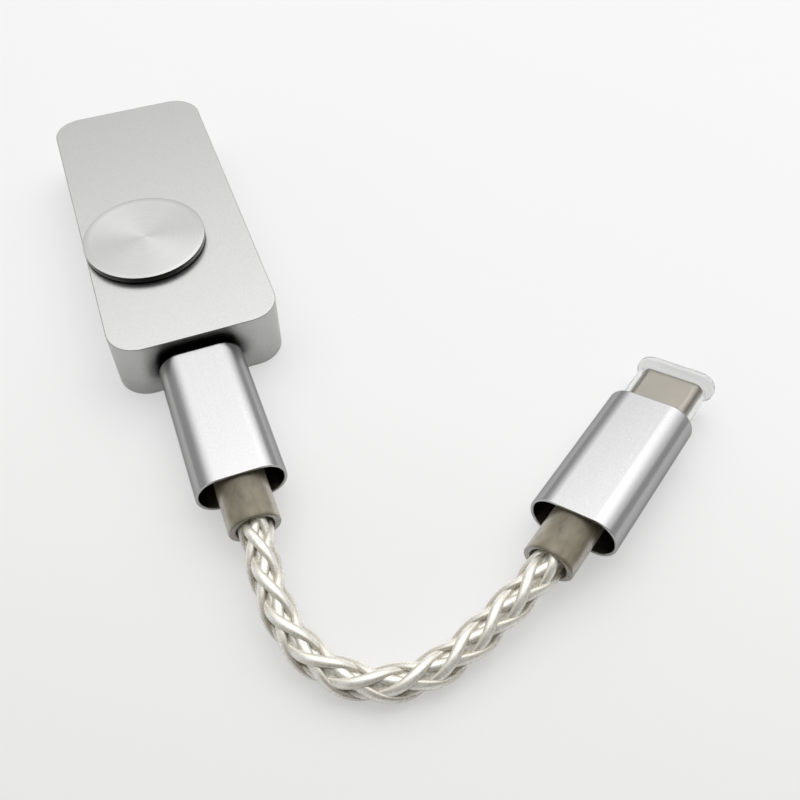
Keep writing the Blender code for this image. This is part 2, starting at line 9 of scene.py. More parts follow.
# %% Load the mechanical model
import json
from math import cos, pi, radians, sin

import bpy
from mathutils import Euler, Matrix, Vector


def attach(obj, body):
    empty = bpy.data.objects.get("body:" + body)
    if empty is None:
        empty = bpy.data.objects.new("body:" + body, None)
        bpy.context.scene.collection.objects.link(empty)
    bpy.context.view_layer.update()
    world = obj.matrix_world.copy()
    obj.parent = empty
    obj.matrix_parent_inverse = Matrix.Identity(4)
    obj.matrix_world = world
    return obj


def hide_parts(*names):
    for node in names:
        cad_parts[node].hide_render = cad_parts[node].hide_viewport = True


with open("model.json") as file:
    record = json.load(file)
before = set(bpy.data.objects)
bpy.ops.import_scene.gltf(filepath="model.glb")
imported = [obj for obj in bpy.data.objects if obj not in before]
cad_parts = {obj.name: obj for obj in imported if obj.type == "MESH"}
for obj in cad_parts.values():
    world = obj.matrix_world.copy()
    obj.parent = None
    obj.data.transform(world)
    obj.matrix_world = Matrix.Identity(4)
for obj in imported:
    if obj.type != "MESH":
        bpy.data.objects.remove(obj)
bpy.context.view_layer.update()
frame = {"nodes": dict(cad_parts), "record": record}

MM = 0.001

# %% [markdown]
# The viewpoint comes first, because every later choice is judged through it. The camera stands close,
# 112 mm in front of the middle of the block and 97 mm up, so the near end looks clearly wider than the
# far end. A Track To constraint could aim it, but plain angles also keep its slight turn about the line
# of sight. The Standard view transform shows each colour about as it is written.

# %% Camera
table_camera = bpy.data.objects.new("table_camera", bpy.data.cameras.new("table_camera"))
bpy.context.scene.collection.objects.link(table_camera)
table_camera.location = (-4.88 * MM, -111.55 * MM, 97.44 * MM)
table_camera.rotation_euler = Euler((radians(38.363), radians(-0.386), radians(-21.042)), "XYZ")
table_camera.data.sensor_width = 36.0
table_camera.data.lens = 40.895
table_camera.data.clip_start = 5 * MM
bpy.context.scene.camera = table_camera
bpy.context.scene.view_settings.view_transform = "Standard"
print("field of view, degrees:", round(table_camera.data.angle * 180 / pi, 2))

# %% [markdown]
# Every piece is a set of closed loops of points joined by quads, like the hoops and staves of a barrel.
# Primitives and a bevel modifier could do it too, but loops put each edge where a maker would put it.
# The helper makes the mesh, shades it smooth, and marks each edge that turns by more than a given angle
# as sharp.

# %% Helper: skin loops into a mesh
def skin(name, loops, joined=False, caps=(True, True), sharp=40.0, wrap=True):
    """Joins loops of points, all as long as each other, into one object. A joined skin is a ring."""
    count = len(loops[0])
    points = [point for loop in loops for point in loop]
    rows = len(loops) if joined else len(loops) - 1
    around = count if wrap else count - 1
    faces = [(r * count + i, r * count + (i + 1) % count,
              (r + 1) % len(loops) * count + (i + 1) % count, (r + 1) % len(loops) * count + i)
             for r in range(rows) for i in range(around)]
    if caps[0] and not joined:
        faces.append(tuple(reversed(range(count))))
    if caps[1] and not joined:
        faces.append(tuple((len(loops) - 1) * count + i for i in range(count)))
    return mesh_object(name, points, faces, sharp)


def mesh_object(name, points, faces, sharp):
    mesh = bpy.data.meshes.new(name)
    mesh.from_pydata(points, [], faces)
    made = bpy.data.objects.new(name, mesh)
    bpy.context.scene.collection.objects.link(made)
    shade(mesh, sharp)
    print(name, "has", len(mesh.polygons), "faces")
    return made


def shade(mesh, sharp):
    """Shades a mesh smooth, and keeps each edge sharp that turns by more than the angle."""
    mesh.polygons.foreach_set("use_smooth", [True] * len(mesh.polygons))
    mesh.set_sharp_from_angle(angle=radians(sharp))

# %% [markdown]
# A visible piece has to know three things: its finish, the moving body that carries it, and the plain
# nodes that it stands for. Setting them in one call keeps a piece from being left behind when its joint
# moves.

# %% Helper: dress a piece
def dress(made, material, body, slot_name, *nodes):
    """Gives a piece its finish, the body it moves with, and the plain nodes that it stands for."""
    made.data.materials.clear()
    made.data.materials.append(material)
    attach(made, body)
    if nodes:
        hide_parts(*nodes)
    print(made.name, "rides on", body, "and stands for", ", ".join(nodes))
    return made

# %% [markdown]
# A finish is a small tree of shader nodes. Such a tree could be wired by hand in the Shader Editor. The
# short helpers below do the same in a line each: they add a node, set its values and link its inputs, so
# that a finish later reads as a few lines. The sky uses them too.

# %% Helper: node trees in few lines
class NodeTree:
    """Short ways to add nodes to one node tree."""

    def __init__(self, tree):
        self.tree = tree

    def node(self, kind, values=None, links=None, **settings):
        made = self.tree.nodes.new(kind)
        for key, value in settings.items():
            setattr(made, key, value)
        for key, value in (values or {}).items():
            made.inputs[key].default_value = value
        for key, source in (links or {}).items():
            self.tree.links.new(source, made.inputs[key])
        return made

    def math(self, operation, *terms):
        """One step of arithmetic. A term is a plain number or the output of a node."""
        made = self.node("ShaderNodeMath", operation=operation)
        for place, term in enumerate(terms):
            if isinstance(term, float):
                made.inputs[place].default_value = term
            else:
                self.tree.links.new(term, made.inputs[place])
        return made.outputs["Value"]

    def ramp(self, source, low, high, lowest=0.0, highest=1.0, curve="LINEAR"):
        """Maps low..high of a value on to lowest..highest, clamped."""
        return self.node("ShaderNodeMapRange",
                         {"From Min": low, "From Max": high, "To Min": lowest, "To Max": highest},
                         {"Value": source}, interpolation_type=curve).outputs["Result"]

    def along(self, direction, source):
        """How far a vector reaches along a fixed direction."""
        return self.node("ShaderNodeVectorMath", {1: direction}, {0: source},
                         operation="DOT_PRODUCT").outputs["Value"]

    def part(self, axis, source):
        return self.node("ShaderNodeSeparateXYZ", {}, {"Vector": source}).outputs[axis]


print("helpers for node trees:", [name for name in vars(NodeTree) if not name.startswith("_")])

# %% [markdown]
# A finish adds a Principled shader to such a tree. Its patterns are laid out in the piece's own
# coordinates, in metres, so a noise scale of 4000 means grains about a quarter of a millimetre wide.

# %% Helper: a finish with a Principled shader
class Finish(NodeTree):
    """A material with a Principled shader, and the patterns that feed it."""

    def __init__(self, name):
        self.material = bpy.data.materials.new(name)
        self.material.use_nodes = True
        super().__init__(self.material.node_tree)
        self.shader = self.tree.nodes["Principled BSDF"]
        self.place = self.node("ShaderNodeTexCoord").outputs["Object"]

    def set(self, **values):
        for key, value in values.items():
            self.shader.inputs[key.replace("_", " ")].default_value = value

    def feed(self, socket, source):
        self.tree.links.new(source, self.shader.inputs[socket])

    def noise(self, scale, detail=3.0, vector=None):
        return self.node("ShaderNodeTexNoise", {"Scale": scale, "Detail": detail},
                         {"Vector": vector or self.place}).outputs["Fac"]

    def blend(self, share, one, two):
        """Mixes two colours, each plain or the output of a node, by a share from 0 to 1."""
        made = self.node("ShaderNodeMix", data_type="RGBA")
        for key, colour in (("A", one), ("B", two)):
            if isinstance(colour, tuple):
                made.inputs[key].default_value = (*colour, 1.0)
            else:
                self.tree.links.new(colour, made.inputs[key])
        self.tree.links.new(share, made.inputs["Factor"])
        return made.outputs["Result"]

    def mapped(self, scale, turn=(0.0, 0.0, 0.0), source=None):
        """The piece's coordinates, or others, scaled and turned."""
        return self.node("ShaderNodeMapping", {"Scale": scale, "Rotation": turn},
                         {"Vector": source or self.place}).outputs["Vector"]

    def bump(self, height, distance, strength):
        return self.node("ShaderNodeBump", {"Strength": strength, "Distance": distance},
                         {"Height": height}).outputs["Normal"]


print("helpers for a finish:", [name for name in vars(Finish) if not name.startswith("_")])

# %% [markdown]
# The lead is 77 mm long from core to core, limp, and plugged in at one end. It leaves the near plug
# level, comes down to the table on the outside of its bend, and rises again to the free plug. A physics
# simulation could lay it, but the bend would then be a matter of luck, so its middle line is a list of
# points, a lead's thickness apart, with a smooth curve through them.

# %% The lead's route
ROUTE = [(-0.6, -40.8, 4.45), (-0.6, -45.53, 4.45), (-0.6, -50.27, 4.45), (-0.6, -55.0, 4.45),
         (-0.9, -59.1, 4.2), (-1.1, -63.2, 3.8), (-0.7, -67.4, 3.3), (0.7, -71.3, 2.8), (3.1, -74.5, 2.4),
         (6.3, -76.7, 2.2), (10.0, -77.6, 2.2), (13.9, -77.4, 2.4), (17.9, -76.3, 2.9), (21.8, -74.8, 3.5),
         (25.6, -73.3, 4.2), (29.24, -71.49, 4.65), (33.18, -68.87, 4.49), (37.12, -66.25, 4.33),
         (41.06, -63.63, 4.18)]
route = [Vector(point) * MM for point in ROUTE]
print("points on the route:", len(route))

# %% [markdown]
# A Catmull-Rom curve passes through every one of its points, so the lead goes exactly where the list
# says. A Bezier spline would need handles as well, and two more things to keep right at each point.

# %% A smooth curve through the points
def smooth_curve(points, steps):
    """Points of the Catmull-Rom curve through the given points."""
    padded = [2 * points[0] - points[1], *points, 2 * points[-1] - points[-2]]
    curve = []
    for a, b, c, d in zip(padded, padded[1:], padded[2:], padded[3:]):
        for step in range(steps):
            t = step / steps
            curve.append(0.5 * (2 * b + (c - a) * t + (2 * a - 5 * b + 4 * c - d) * t ** 2
                                + (3 * b - a - 3 * c + d) * t ** 3))
    return curve + [padded[-2]]


STEPS_PER_SPAN = 24
rough_line = smooth_curve(route, STEPS_PER_SPAN)
print("points on the rough curve:", len(rough_line))

# %% [markdown]
# A strand winds evenly only if the points that it follows are evenly spread, so the curve is measured and
# cut into equal steps. Each step also gets a sideways direction that turns as little as possible along
# the way. Taking it from the curve's own bending would flip it where the bend changes side.

# %% Even steps along the lead
def even_curve(points, count):
    """The same curve with its points spread evenly, and its length."""
    lengths = [0.0]
    for one, two in zip(points, points[1:]):
        lengths.append(lengths[-1] + (two - one).length)
    even, at = [], 0
    for i in range(count):
        target = lengths[-1] * i / (count - 1)
        while at < len(points) - 2 and lengths[at + 1] < target:
            at += 1
        share = (target - lengths[at]) / (lengths[at + 1] - lengths[at])
        even.append(points[at].lerp(points[at + 1], share))
    return even, lengths[-1]


def travelling_frames(points, side):
    """Each point with its sideways and upward directions."""
    frames = []
    for i, point in enumerate(points):
        along = (points[min(i + 1, len(points) - 1)] - points[max(i - 1, 0)]).normalized()
        side = (side - along * side.dot(along)).normalized()
        frames.append((point, side, along.cross(side)))
    return frames


RINGS = 300
centre_line, lead_length = even_curve(rough_line, RINGS)
lead_frames = travelling_frames(centre_line, Vector((1, 0, 0)))
print("length of the lead in mm:", round(lead_length / MM, 1))

# %% [markdown]
# The lead is a round braid of eight strands. Four run one way round and four the other, and each passes
# over two and under two, so the crossings make a column of V shapes. Seen in cross-section, the four
# strands of one direction lie on a squarish oval, and the other four on the same oval turned by a quarter
# turn. A braided pattern on one tube would look flat from this near, so each strand is a tube of its own.

# %% The path of one strand
BRAID_PITCH = 21.0 * MM  # length of one full turn of a strand
BRAID_RADIUS = 1.44 * MM  # mean distance of a strand from the middle of the lead
BRAID_WAVE = 0.22 * MM  # how far a strand rises over and dips under the others
STRAND_WIDTH = 1.28 * MM
STRAND_THICKNESS = 0.88 * MM
STRAND_SIDES = 14
TURN_PER_RING = 2 * pi * lead_length / (RINGS - 1) / BRAID_PITCH
print("degrees that a strand turns per ring:", round(TURN_PER_RING * 180 / pi, 2))


def strand_spine(start, way):
    """The middle of one strand: start is its angle at the near end, way +1 or -1 its way round."""
    spine = []
    for i, (point, side, up) in enumerate(lead_frames):
        angle = start + way * TURN_PER_RING * i
        swing = cos(2 * angle)
        flattened = swing * (1.5 - 0.5 * swing * swing)  # stays longer over or under than a plain wave
        outward = side * cos(angle) + up * sin(angle)
        spine.append((point + outward * (BRAID_RADIUS + way * BRAID_WAVE * flattened), outward))
    return spine


def oval(spot, across, outward, width, thickness):
    return [spot + across * (cos(2 * pi * k / STRAND_SIDES) * width / 2)
            + outward * (sin(2 * pi * k / STRAND_SIDES) * thickness / 2) for k in range(STRAND_SIDES)]

# %% [markdown]
# A spine alone has no thickness. At each of its points an oval is set square to the strand, flat side
# down, because soft strands press flat where they cross. A plain round tube joins them in the middle:
# a real braid is full of wire inside, and without it the table would show through between the strands.

# %% The eight strands and the core
CORE_DIAMETER = 2.3 * MM  # the under layers, packed together in the middle
QUARTER = pi / 2


def strand_rings(start, way):
    spine = strand_spine(start, way)
    rings = []
    for i, (spot, outward) in enumerate(spine):
        along = (spine[min(i + 1, RINGS - 1)][0] - spine[max(i - 1, 0)][0]).normalized()
        outward = (outward - along * outward.dot(along)).normalized()
        rings.append(oval(spot, along.cross(outward), outward, STRAND_WIDTH, STRAND_THICKNESS))
    return rings


strands = [strand_rings(pair * QUARTER + QUARTER / 4, way) for pair in range(4) for way in (-1, 1)]
strands.append([oval(point, side, up, CORE_DIAMETER, CORE_DIAMETER) for point, side, up in lead_frames])
print("tubes in the braid, with the core:", len(strands))

# %% [markdown]
# All the tubes become one mesh, because one lead is one piece. Its UV map says where a point lies on its
# strand: across counts once round the strand, and up counts millimetres along it. The finish needs that
# to run its fine wires along each strand.

# %% The braid's mesh
def tube_faces(base):
    """Faces of one tube, in rows from the near end to the far end."""
    return [tuple(base + n for n in (r * STRAND_SIDES + k, r * STRAND_SIDES + (k + 1) % STRAND_SIDES,
                                     (r + 1) * STRAND_SIDES + (k + 1) % STRAND_SIDES,
                                     (r + 1) * STRAND_SIDES + k))
            for r in range(RINGS - 1) for k in range(STRAND_SIDES)]


def tube_map(number):
    """The UV corners of the same faces."""
    corners = []
    for r in range(RINGS - 1):
        near, far = (lead_length / MM * row / (RINGS - 1) for row in (r, r + 1))
        for k in range(STRAND_SIDES):
            left, right = k / STRAND_SIDES + number, (k + 1) / STRAND_SIDES + number
            corners += [(left, near), (right, near), (right, far), (left, far)]
    return corners


points, faces, strand_map = [], [], []
for number, rings in enumerate(strands):
    base, last = len(points), (RINGS - 1) * STRAND_SIDES
    points += [point for ring in rings for point in ring]
    faces += tube_faces(base)
    faces.append(tuple(base + k for k in reversed(range(STRAND_SIDES))))
    faces.append(tuple(base + last + k for k in range(STRAND_SIDES)))
    strand_map += tube_map(number) + [(number + 0.5, 0.0)] * (2 * STRAND_SIDES)
braid = mesh_object("braid", points, faces, sharp=50)
braid.data.uv_layers.new(name="strand").data.foreach_set("uv", [v for pair in strand_map for v in pair])

# %% [markdown]
# Each strand is a bundle of silver-plated copper wires in a clear jacket, warm beige where the jacket is
# thick and bright along its crest. A half-metal base with slanting fine lines gives the twisted wires, a
# pale line along the crest is partly the bundle seen through its jacket and partly a painted highlight,
# and a smooth clear coat gives the jacket's sharp highlight. Real glass tubes round real wires would cost
# far more and look the same here.

# %% Finish of the strands
CREST = 0.25  # the outward side of a strand, as a share of the way round it
silver = Finish("silver_strands")
on_strand = silver.node("ShaderNodeUVMap", uv_map="strand").outputs["UV"]
wires = silver.node("ShaderNodeTexWave",
                    {"Scale": 1.15, "Distortion": 0.6, "Detail": 2.0, "Detail Scale": 1.4},
                    {"Vector": silver.mapped((7.0, 1.0, 1.0), (0.0, 0.0, radians(-38)), on_strand)},
                    wave_type="BANDS", bands_direction="X").outputs["Fac"]
uneven = silver.noise(2.2, 3.0, on_strand)
way_round = silver.math("MODULO", silver.part("X", on_strand), 1.0)
from_crest = silver.math("ABSOLUTE", silver.math("SUBTRACT", way_round, CREST))
# Partly a painted highlight: a pale line along each strand's outward side, which also stands for the wire
# bundle.
bundle_and_painted_highlight = silver.math("MULTIPLY", silver.ramp(from_crest, 0.03, 0.13, 1.0, 0.0),
                    silver.ramp(uneven, 0.3, 0.6, 0.45, 1.0))
silver.feed("Base Color", silver.blend(silver.math("MULTIPLY_ADD", wires, 0.35, bundle_and_painted_highlight),
                                       (0.68, 0.635, 0.54), (0.98, 0.965, 0.89)))
silver.feed("Roughness", silver.ramp(uneven, 0.3, 0.7, 0.22, 0.36))
silver.feed("Normal", silver.bump(wires, 0.005 * MM, 0.15))
silver.set(Metallic=0.30, Coat_Weight=1.0, Coat_Roughness=0.04, Coat_IOR=1.5)
dress(braid, silver.material, "cable_body", "silver_braid", "braided_cord")

# %% [markdown]
# Loops come in two kinds here: a rectangle with round corners, for the block, the plugs and the tips, and
# a circle, for the disc and the sleeves. A milled edge is never quite sharp, so a third helper gives the
# few steps of a small quarter round.

# %% Helpers: loops and edges
def rounded_loop(width, length, corner, z=0.0, steps=14):
    """A loop of points round a rectangle with round corners, at height z."""
    loop = []
    for quarter in range(4):
        middle_x = (width / 2 - corner) * (1 if quarter in (0, 3) else -1)
        middle_y = (length / 2 - corner) * (1 if quarter in (0, 1) else -1)
        for step in range(steps):
            angle = (quarter + step / (steps - 1)) * pi / 2
            loop.append(Vector((middle_x + corner * cos(angle), middle_y + corner * sin(angle), z)))
    return loop


def oval_loop(radius_x, radius_y, z, steps=48, x=0.0, y=0.0):
    return [Vector((x + radius_x * cos(2 * pi * i / steps), y + radius_y * sin(2 * pi * i / steps), z))
            for i in range(steps)]


def round_loop(radius, z=0.0, steps=48, x=0.0, y=0.0):
    return oval_loop(radius, radius, z, steps, x, y)


def edge_steps(radius, count=4):
    """(inset, drop) pairs round a quarter circle, from the side face to the top face."""
    return [(radius * (1 - cos(pi / 2 * i / count)), radius * (1 - sin(pi / 2 * i / count)))
            for i in range(count + 1)]


print("steps of a 1 mm edge:", [tuple(round(v, 2) for v in step) for step in edge_steps(1.0)])

# %% [markdown]
# The holes for the two sockets and the disc's hub are cut with Boolean modifiers, as a mill would cut
# them. Their result is kept as a plain mesh, so that nothing depends on the cutters later. Large flat
# faces beside small round edges can look swollen under smooth shading. A Weighted Normal modifier lets
# the large faces stay flat.

# %% Helpers: cut holes and keep faces flat
def cut_holes(made, cutters):
    """Cuts the given closed meshes out of a piece, then throws them away."""
    for cutter in cutters:
        step = made.modifiers.new(cutter.name, "BOOLEAN")
        step.operation, step.solver, step.object = "DIFFERENCE", "EXACT", cutter
    bpy.context.view_layer.update()
    cut = bpy.data.meshes.new_from_object(made.evaluated_get(bpy.context.evaluated_depsgraph_get()))
    made.modifiers.clear()
    made.data = cut
    for cutter in cutters:
        bpy.data.objects.remove(cutter, do_unlink=True)
    shade(cut, 40)
    print(made.name, "has", len(cut.polygons), "faces after", len(cutters), "cuts")


def keep_faces_flat(made):
    """Shades large flat faces as flat and leaves the blend to the narrow faces of the edges."""
    step = made.modifiers.new("flat_faces", "WEIGHTED_NORMAL")
    step.keep_sharp = True
    step.weight = 100

# %% [markdown]
# The block is milled from one bar and bead-blasted. Its upper edge is only just broken, so it draws a
# crisp line with hardly any highlight. A bevelled box could stand for it, but the skin here follows the
# same section as the solid, from the thin wall inside and the lip round the base plate to the top face.

# %% The block
CASE = Vector((23.0, 53.6, 9.0)) * MM
CASE_CORNER = 4.2 * MM
EDGE_ROUND = 0.14 * MM
BOTTOM_EDGE = 0.1 * MM
WALL = 1.4 * MM
LIP = 0.55 * MM
LIP_HEIGHT = 1.2 * MM


def case_loop(inset, z):
    return rounded_loop(CASE.x - 2 * inset, CASE.y - 2 * inset, CASE_CORNER - inset, z)


case_loops = [case_loop(WALL, CASE.z - WALL), case_loop(WALL, LIP_HEIGHT), case_loop(LIP, LIP_HEIGHT),
              case_loop(LIP, 0), case_loop(BOTTOM_EDGE, 0), case_loop(0, BOTTOM_EDGE)]
case_loops += [case_loop(inset, CASE.z - drop) for inset, drop in edge_steps(EDGE_ROUND)]
block = skin("block", case_loops)

# %% [markdown]
# Three holes go through the skin: the rounded slot of the USB-C socket in the near end, the round
# headphone socket in the far end, and the hole for the disc's hub in the top. Each cutter reaches well
# past the wall on both sides, because a cut that ends on a surface can leave slivers.

# %% The holes in the block
SOCKET = Vector((-0.6, -26.8, 4.45)) * MM
SOCKET_MOUTH = Vector((9.65, 3.8)) * MM
SOCKET_CORNER = 1.8 * MM
JACK = Vector((0.0, 26.8, 5.1)) * MM
JACK_MOUTH_RADIUS = 2.7 * MM
KNOB = Vector((-2.95, -6.5, 9.25)) * MM
HUB_HOLE_RADIUS = 3.1 * MM
HALF_CUT = 3 * MM  # how far a cutter reaches to each side of a wall
HUB_CUT = (6 * MM, 11 * MM)  # from under the top wall to above it


def laid_along_y(made, at):
    """Lays a cutter that was built along Z along the Y axis, at a place."""
    made.data.transform(Matrix.Translation(at) @ Matrix.Rotation(-pi / 2, 4, "X"))
    return made


socket_loops = [rounded_loop(*SOCKET_MOUTH, SOCKET_CORNER, z) for z in (-HALF_CUT, HALF_CUT)]
jack_loops = [round_loop(JACK_MOUTH_RADIUS, z) for z in (-HALF_CUT, HALF_CUT)]
hub_loops = [round_loop(HUB_HOLE_RADIUS, z, x=KNOB.x, y=KNOB.y) for z in HUB_CUT]
cut_holes(block, [laid_along_y(skin("socket_cutter", socket_loops), SOCKET),
                  laid_along_y(skin("jack_cutter", jack_loops), JACK), skin("hub_cutter", hub_loops)])
keep_faces_flat(block)

# %% [markdown]
# Blasting leaves a fine, even grain and a soft sheen. Fine noise makes the grain in the colour and in the
# relief, and broad noise makes the sheen a little uneven. Modelled pits would be far too many. In the
# tight corner round the plug hardly any light gets in, and the metal there looks almost black. That shade
# is painted: an Ambient Occlusion node turns the colour near-black in that corner, on the side faces only
# and clear of the table.

# %% Finish of the block
GRAIN_SCALE = 4200.0
CORNER_REACH = 2.8 * MM  # how far the dark of a tight corner spreads
blasted = Finish("blasted_aluminium")
grain = blasted.noise(GRAIN_SCALE)
patches = blasted.noise(140.0)
metal_tone = blasted.blend(blasted.ramp(grain, 0.3, 0.7), (0.46, 0.46, 0.455), (0.515, 0.515, 0.51))
openness = blasted.node("ShaderNodeAmbientOcclusion", {"Distance": CORNER_REACH}, samples=8).outputs["AO"]
height = blasted.part("Z", blasted.place)
sides_only = blasted.math("MULTIPLY", blasted.ramp(height, CASE.z - 0.02 * MM, CASE.z - 0.10 * MM),
                          blasted.ramp(height, 1.5 * MM, 3.5 * MM))
# Painted shade: the colour turns near-black where the Ambient Occlusion node finds a tight corner.
painted_corner_shade = blasted.math("MULTIPLY", blasted.ramp(openness, 0.66, 0.93, 1.0, 0.0), sides_only)
blasted.feed("Base Color", blasted.blend(painted_corner_shade, metal_tone, (0.01, 0.01, 0.01)))
blasted.feed("Roughness", blasted.ramp(patches, 0.3, 0.7, 0.28, 0.31))
blasted.feed("Normal", blasted.bump(grain, 0.0015 * MM, 0.4))
blasted.set(Metallic=1.0)
dress(block, blasted.material, "case_body", "blasted_aluminium", "case_shell")

# %% [markdown]
# The volume disc is turned on a lathe: a thin plate on a narrow hub. The skin runs out from the hub along
# the underside, up the rim and in across the top, with a tiny edge at both corners of the rim. A cylinder
# primitive would have neither the hub nor the edges, and its rim would look cut with scissors.

# %% The volume disc
KNOB_RADIUS = 8.55 * MM
KNOB_THICKNESS = 0.8 * MM
KNOB_EDGE = 0.05 * MM
HUB_RADIUS = 2.8 * MM
HUB_END = 8.0 * MM
HUB_CENTRE = 0.02 * MM
FACE_RINGS = (0.9, 0.7, 0.5, 0.3, 0.1, 0.01)  # shares of the radius
knob_bottom, knob_top = KNOB.z, KNOB.z + KNOB_THICKNESS


def knob_loop(radius, z):
    return round_loop(radius, z, steps=144, x=KNOB.x, y=KNOB.y)


rim_edge = edge_steps(KNOB_EDGE, 3)
knob_loops = [knob_loop(HUB_CENTRE, HUB_END), knob_loop(HUB_RADIUS, HUB_END),
              knob_loop(HUB_RADIUS, knob_bottom)]
knob_loops += [knob_loop(KNOB_RADIUS - inset, knob_bottom + drop) for inset, drop in reversed(rim_edge)]
knob_loops += [knob_loop(KNOB_RADIUS - inset, knob_top - drop) for inset, drop in rim_edge]
knob_loops += [knob_loop(KNOB_RADIUS * share, knob_top) for share in FACE_RINGS]
disc = skin("volume_disc", knob_loops, sharp=50)

# %% [markdown]
# The lathe's tool leaves fine circular lines. Light spreads across such lines and not along them, which
# draws the two bright fans that meet in the middle of the disc. A painted fan would stay put when the
# disc turns, so the shader's anisotropy does the spreading, a radial tangent says which way the lines
# run, and a faint pattern of rings lets some of them be seen.

# %% Finish of the disc's face
spun = Finish("spun_aluminium")
from_middle = spun.node("ShaderNodeVectorMath", {1: (KNOB.x, KNOB.y, 0)}, {0: spun.place}, operation="SUBTRACT")
in_plane = spun.node("ShaderNodeVectorMath", {1: (1, 1, 0)}, {0: from_middle.outputs["Vector"]},
                     operation="MULTIPLY").outputs["Vector"]
radius_out = spun.node("ShaderNodeVectorMath", {}, {0: in_plane}, operation="LENGTH").outputs["Value"]
ring_place = spun.node("ShaderNodeCombineXYZ", {}, {"X": radius_out}).outputs["Vector"]
fine_rings = spun.noise(16000.0, 2.0, ring_place)
broad_rings = spun.noise(2500.0, 2.0, ring_place)
spun.feed("Base Color", spun.blend(broad_rings, (0.47, 0.47, 0.46), (0.55, 0.55, 0.54)))
spun.feed("Roughness", spun.ramp(fine_rings, 0.3, 0.7, 0.26, 0.36))
spun.feed("Normal", spun.bump(fine_rings, 0.0015 * MM, 0.5))
spun.feed("Tangent", spun.node("ShaderNodeTangent", direction_type="RADIAL", axis="Z").outputs["Tangent"])
spun.set(Metallic=1.0, Anisotropic=0.92, Anisotropic_Rotation=0.25)
dress(disc, spun.material, "knob_body", "spun_aluminium", "volume_knob")

# %% [markdown]
# The rim and the underside of the disc are the same metal as its face, with fine level lines from the same
# lathe. They lie in shade, and that shade is painted: their colour is set much darker than the face's.
# They could be a second piece, but the real disc is one, so its mesh gets a second material and each face
# is told by its direction which one it wears.

# %% Finish of the disc's rim, in painted shade
painted_shade_rim = Finish("turned_wall_painted_shade")
level_lines = painted_shade_rim.noise(9000.0, 2.0, painted_shade_rim.mapped((0.02, 0.02, 1.0)))
# Painted shade: the rim and underside get a far darker colour than the face's metal.
painted_shade_rim.feed("Base Color", painted_shade_rim.blend(level_lines, (0.10, 0.10, 0.10), (0.16, 0.16, 0.157)))
painted_shade_rim.feed("Roughness", painted_shade_rim.ramp(level_lines, 0.3, 0.7, 0.22, 0.32))
painted_shade_rim.set(Metallic=1.0)
disc.data.materials.append(painted_shade_rim.material)
for face in disc.data.polygons:
    face.material_index = 0 if face.normal.z > 0.5 else 1
print("faces on the rim and below:", sum(face.material_index for face in disc.data.polygons))

# %% [markdown]
# Both plugs are alike, so one function will make the pieces of a plug along its own axis, and a matrix
# puts them in place. Building each where it lies would mean doing every sum twice. The near plug sits
# level in its socket. The free plug lies on the table on its lead, and leans a little on one long edge.

# %% Where the plugs lie
PLUG = Vector((11.4, 6.35, 21.1)) * MM
PLUG_CORNER = 3.05 * MM
PLUG_WALL = 0.4 * MM
PLUG_FRONT = 0.8 * MM
TIP = Vector((8.25, 2.4, 7.0)) * MM
TIP_CORNER = 1.152 * MM
near_place = Matrix.Translation((-0.6 * MM, -27.9 * MM, 4.45 * MM)) @ Matrix.Rotation(-pi / 2, 4, "X")
far_place = (Matrix.Translation((51.8 * MM, -56.5 * MM, 3.75 * MM)) @ Matrix.Rotation(radians(-56.4), 4, "Z")
             @ Matrix.Rotation(radians(-91.9), 4, "X"))
near_lean = Matrix.Identity(4)
far_lean = Matrix.Rotation(radians(-10.7), 4, "Z")
print("the free plug's height at its front, mm:", round(far_place.translation.z / MM, 2))

# %% [markdown]
# The shell of a plug is an aluminium can with a satin skin: a very fine grain, and faint lines along the
# axis from drawing. Stretched noise gives the lines and plain noise the grain. A darker edge tint keeps
# the metal from turning white where it curves out of sight.

# %% Finish of the plug shells
satin = Finish("satin_aluminium")
drawn_lines = satin.noise(2600.0, 3.0, satin.mapped((1.0, 1.0, 0.06)))
satin_grain = satin.noise(5000.0, 2.0)
satin.feed("Base Color", satin.blend(satin_grain, (0.44, 0.44, 0.44), (0.53, 0.53, 0.53)))
satin.feed("Roughness", satin.ramp(drawn_lines, 0.3, 0.7, 0.22, 0.27))
satin.feed("Normal", satin.bump(satin_grain, 0.002 * MM, 0.5))
satin.set(Metallic=1.0, Specular_Tint=(0.55, 0.55, 0.55, 1.0))
print("nodes in the satin finish:", len(satin.tree.nodes))

# %% [markdown]
# The sleeve that guards the lead behind each shell is a smoky olive tube, and the braid shows through it
# as pale slanting patches. It could be thick glass over the braid, but light from the table then floods
# its edges. Here the patches are a turned, stretched noise, and a little light still passes. Towards the
# shell and at the cut end the sleeve lies in shade, and that shade is painted: the patches fade into the
# dark olive there.

# %% Finish of the sleeves
SLEEVE_END = -27.1 * MM
SLEEVE_START = -12.9 * MM
smoke = Finish("smoky_sleeve")
cloud = smoke.noise(520.0, 2.0, smoke.mapped((1.0, 1.0, 0.5), (0.5, 0.5, 0.0)))
on_sleeve = smoke.part("Z", smoke.place)
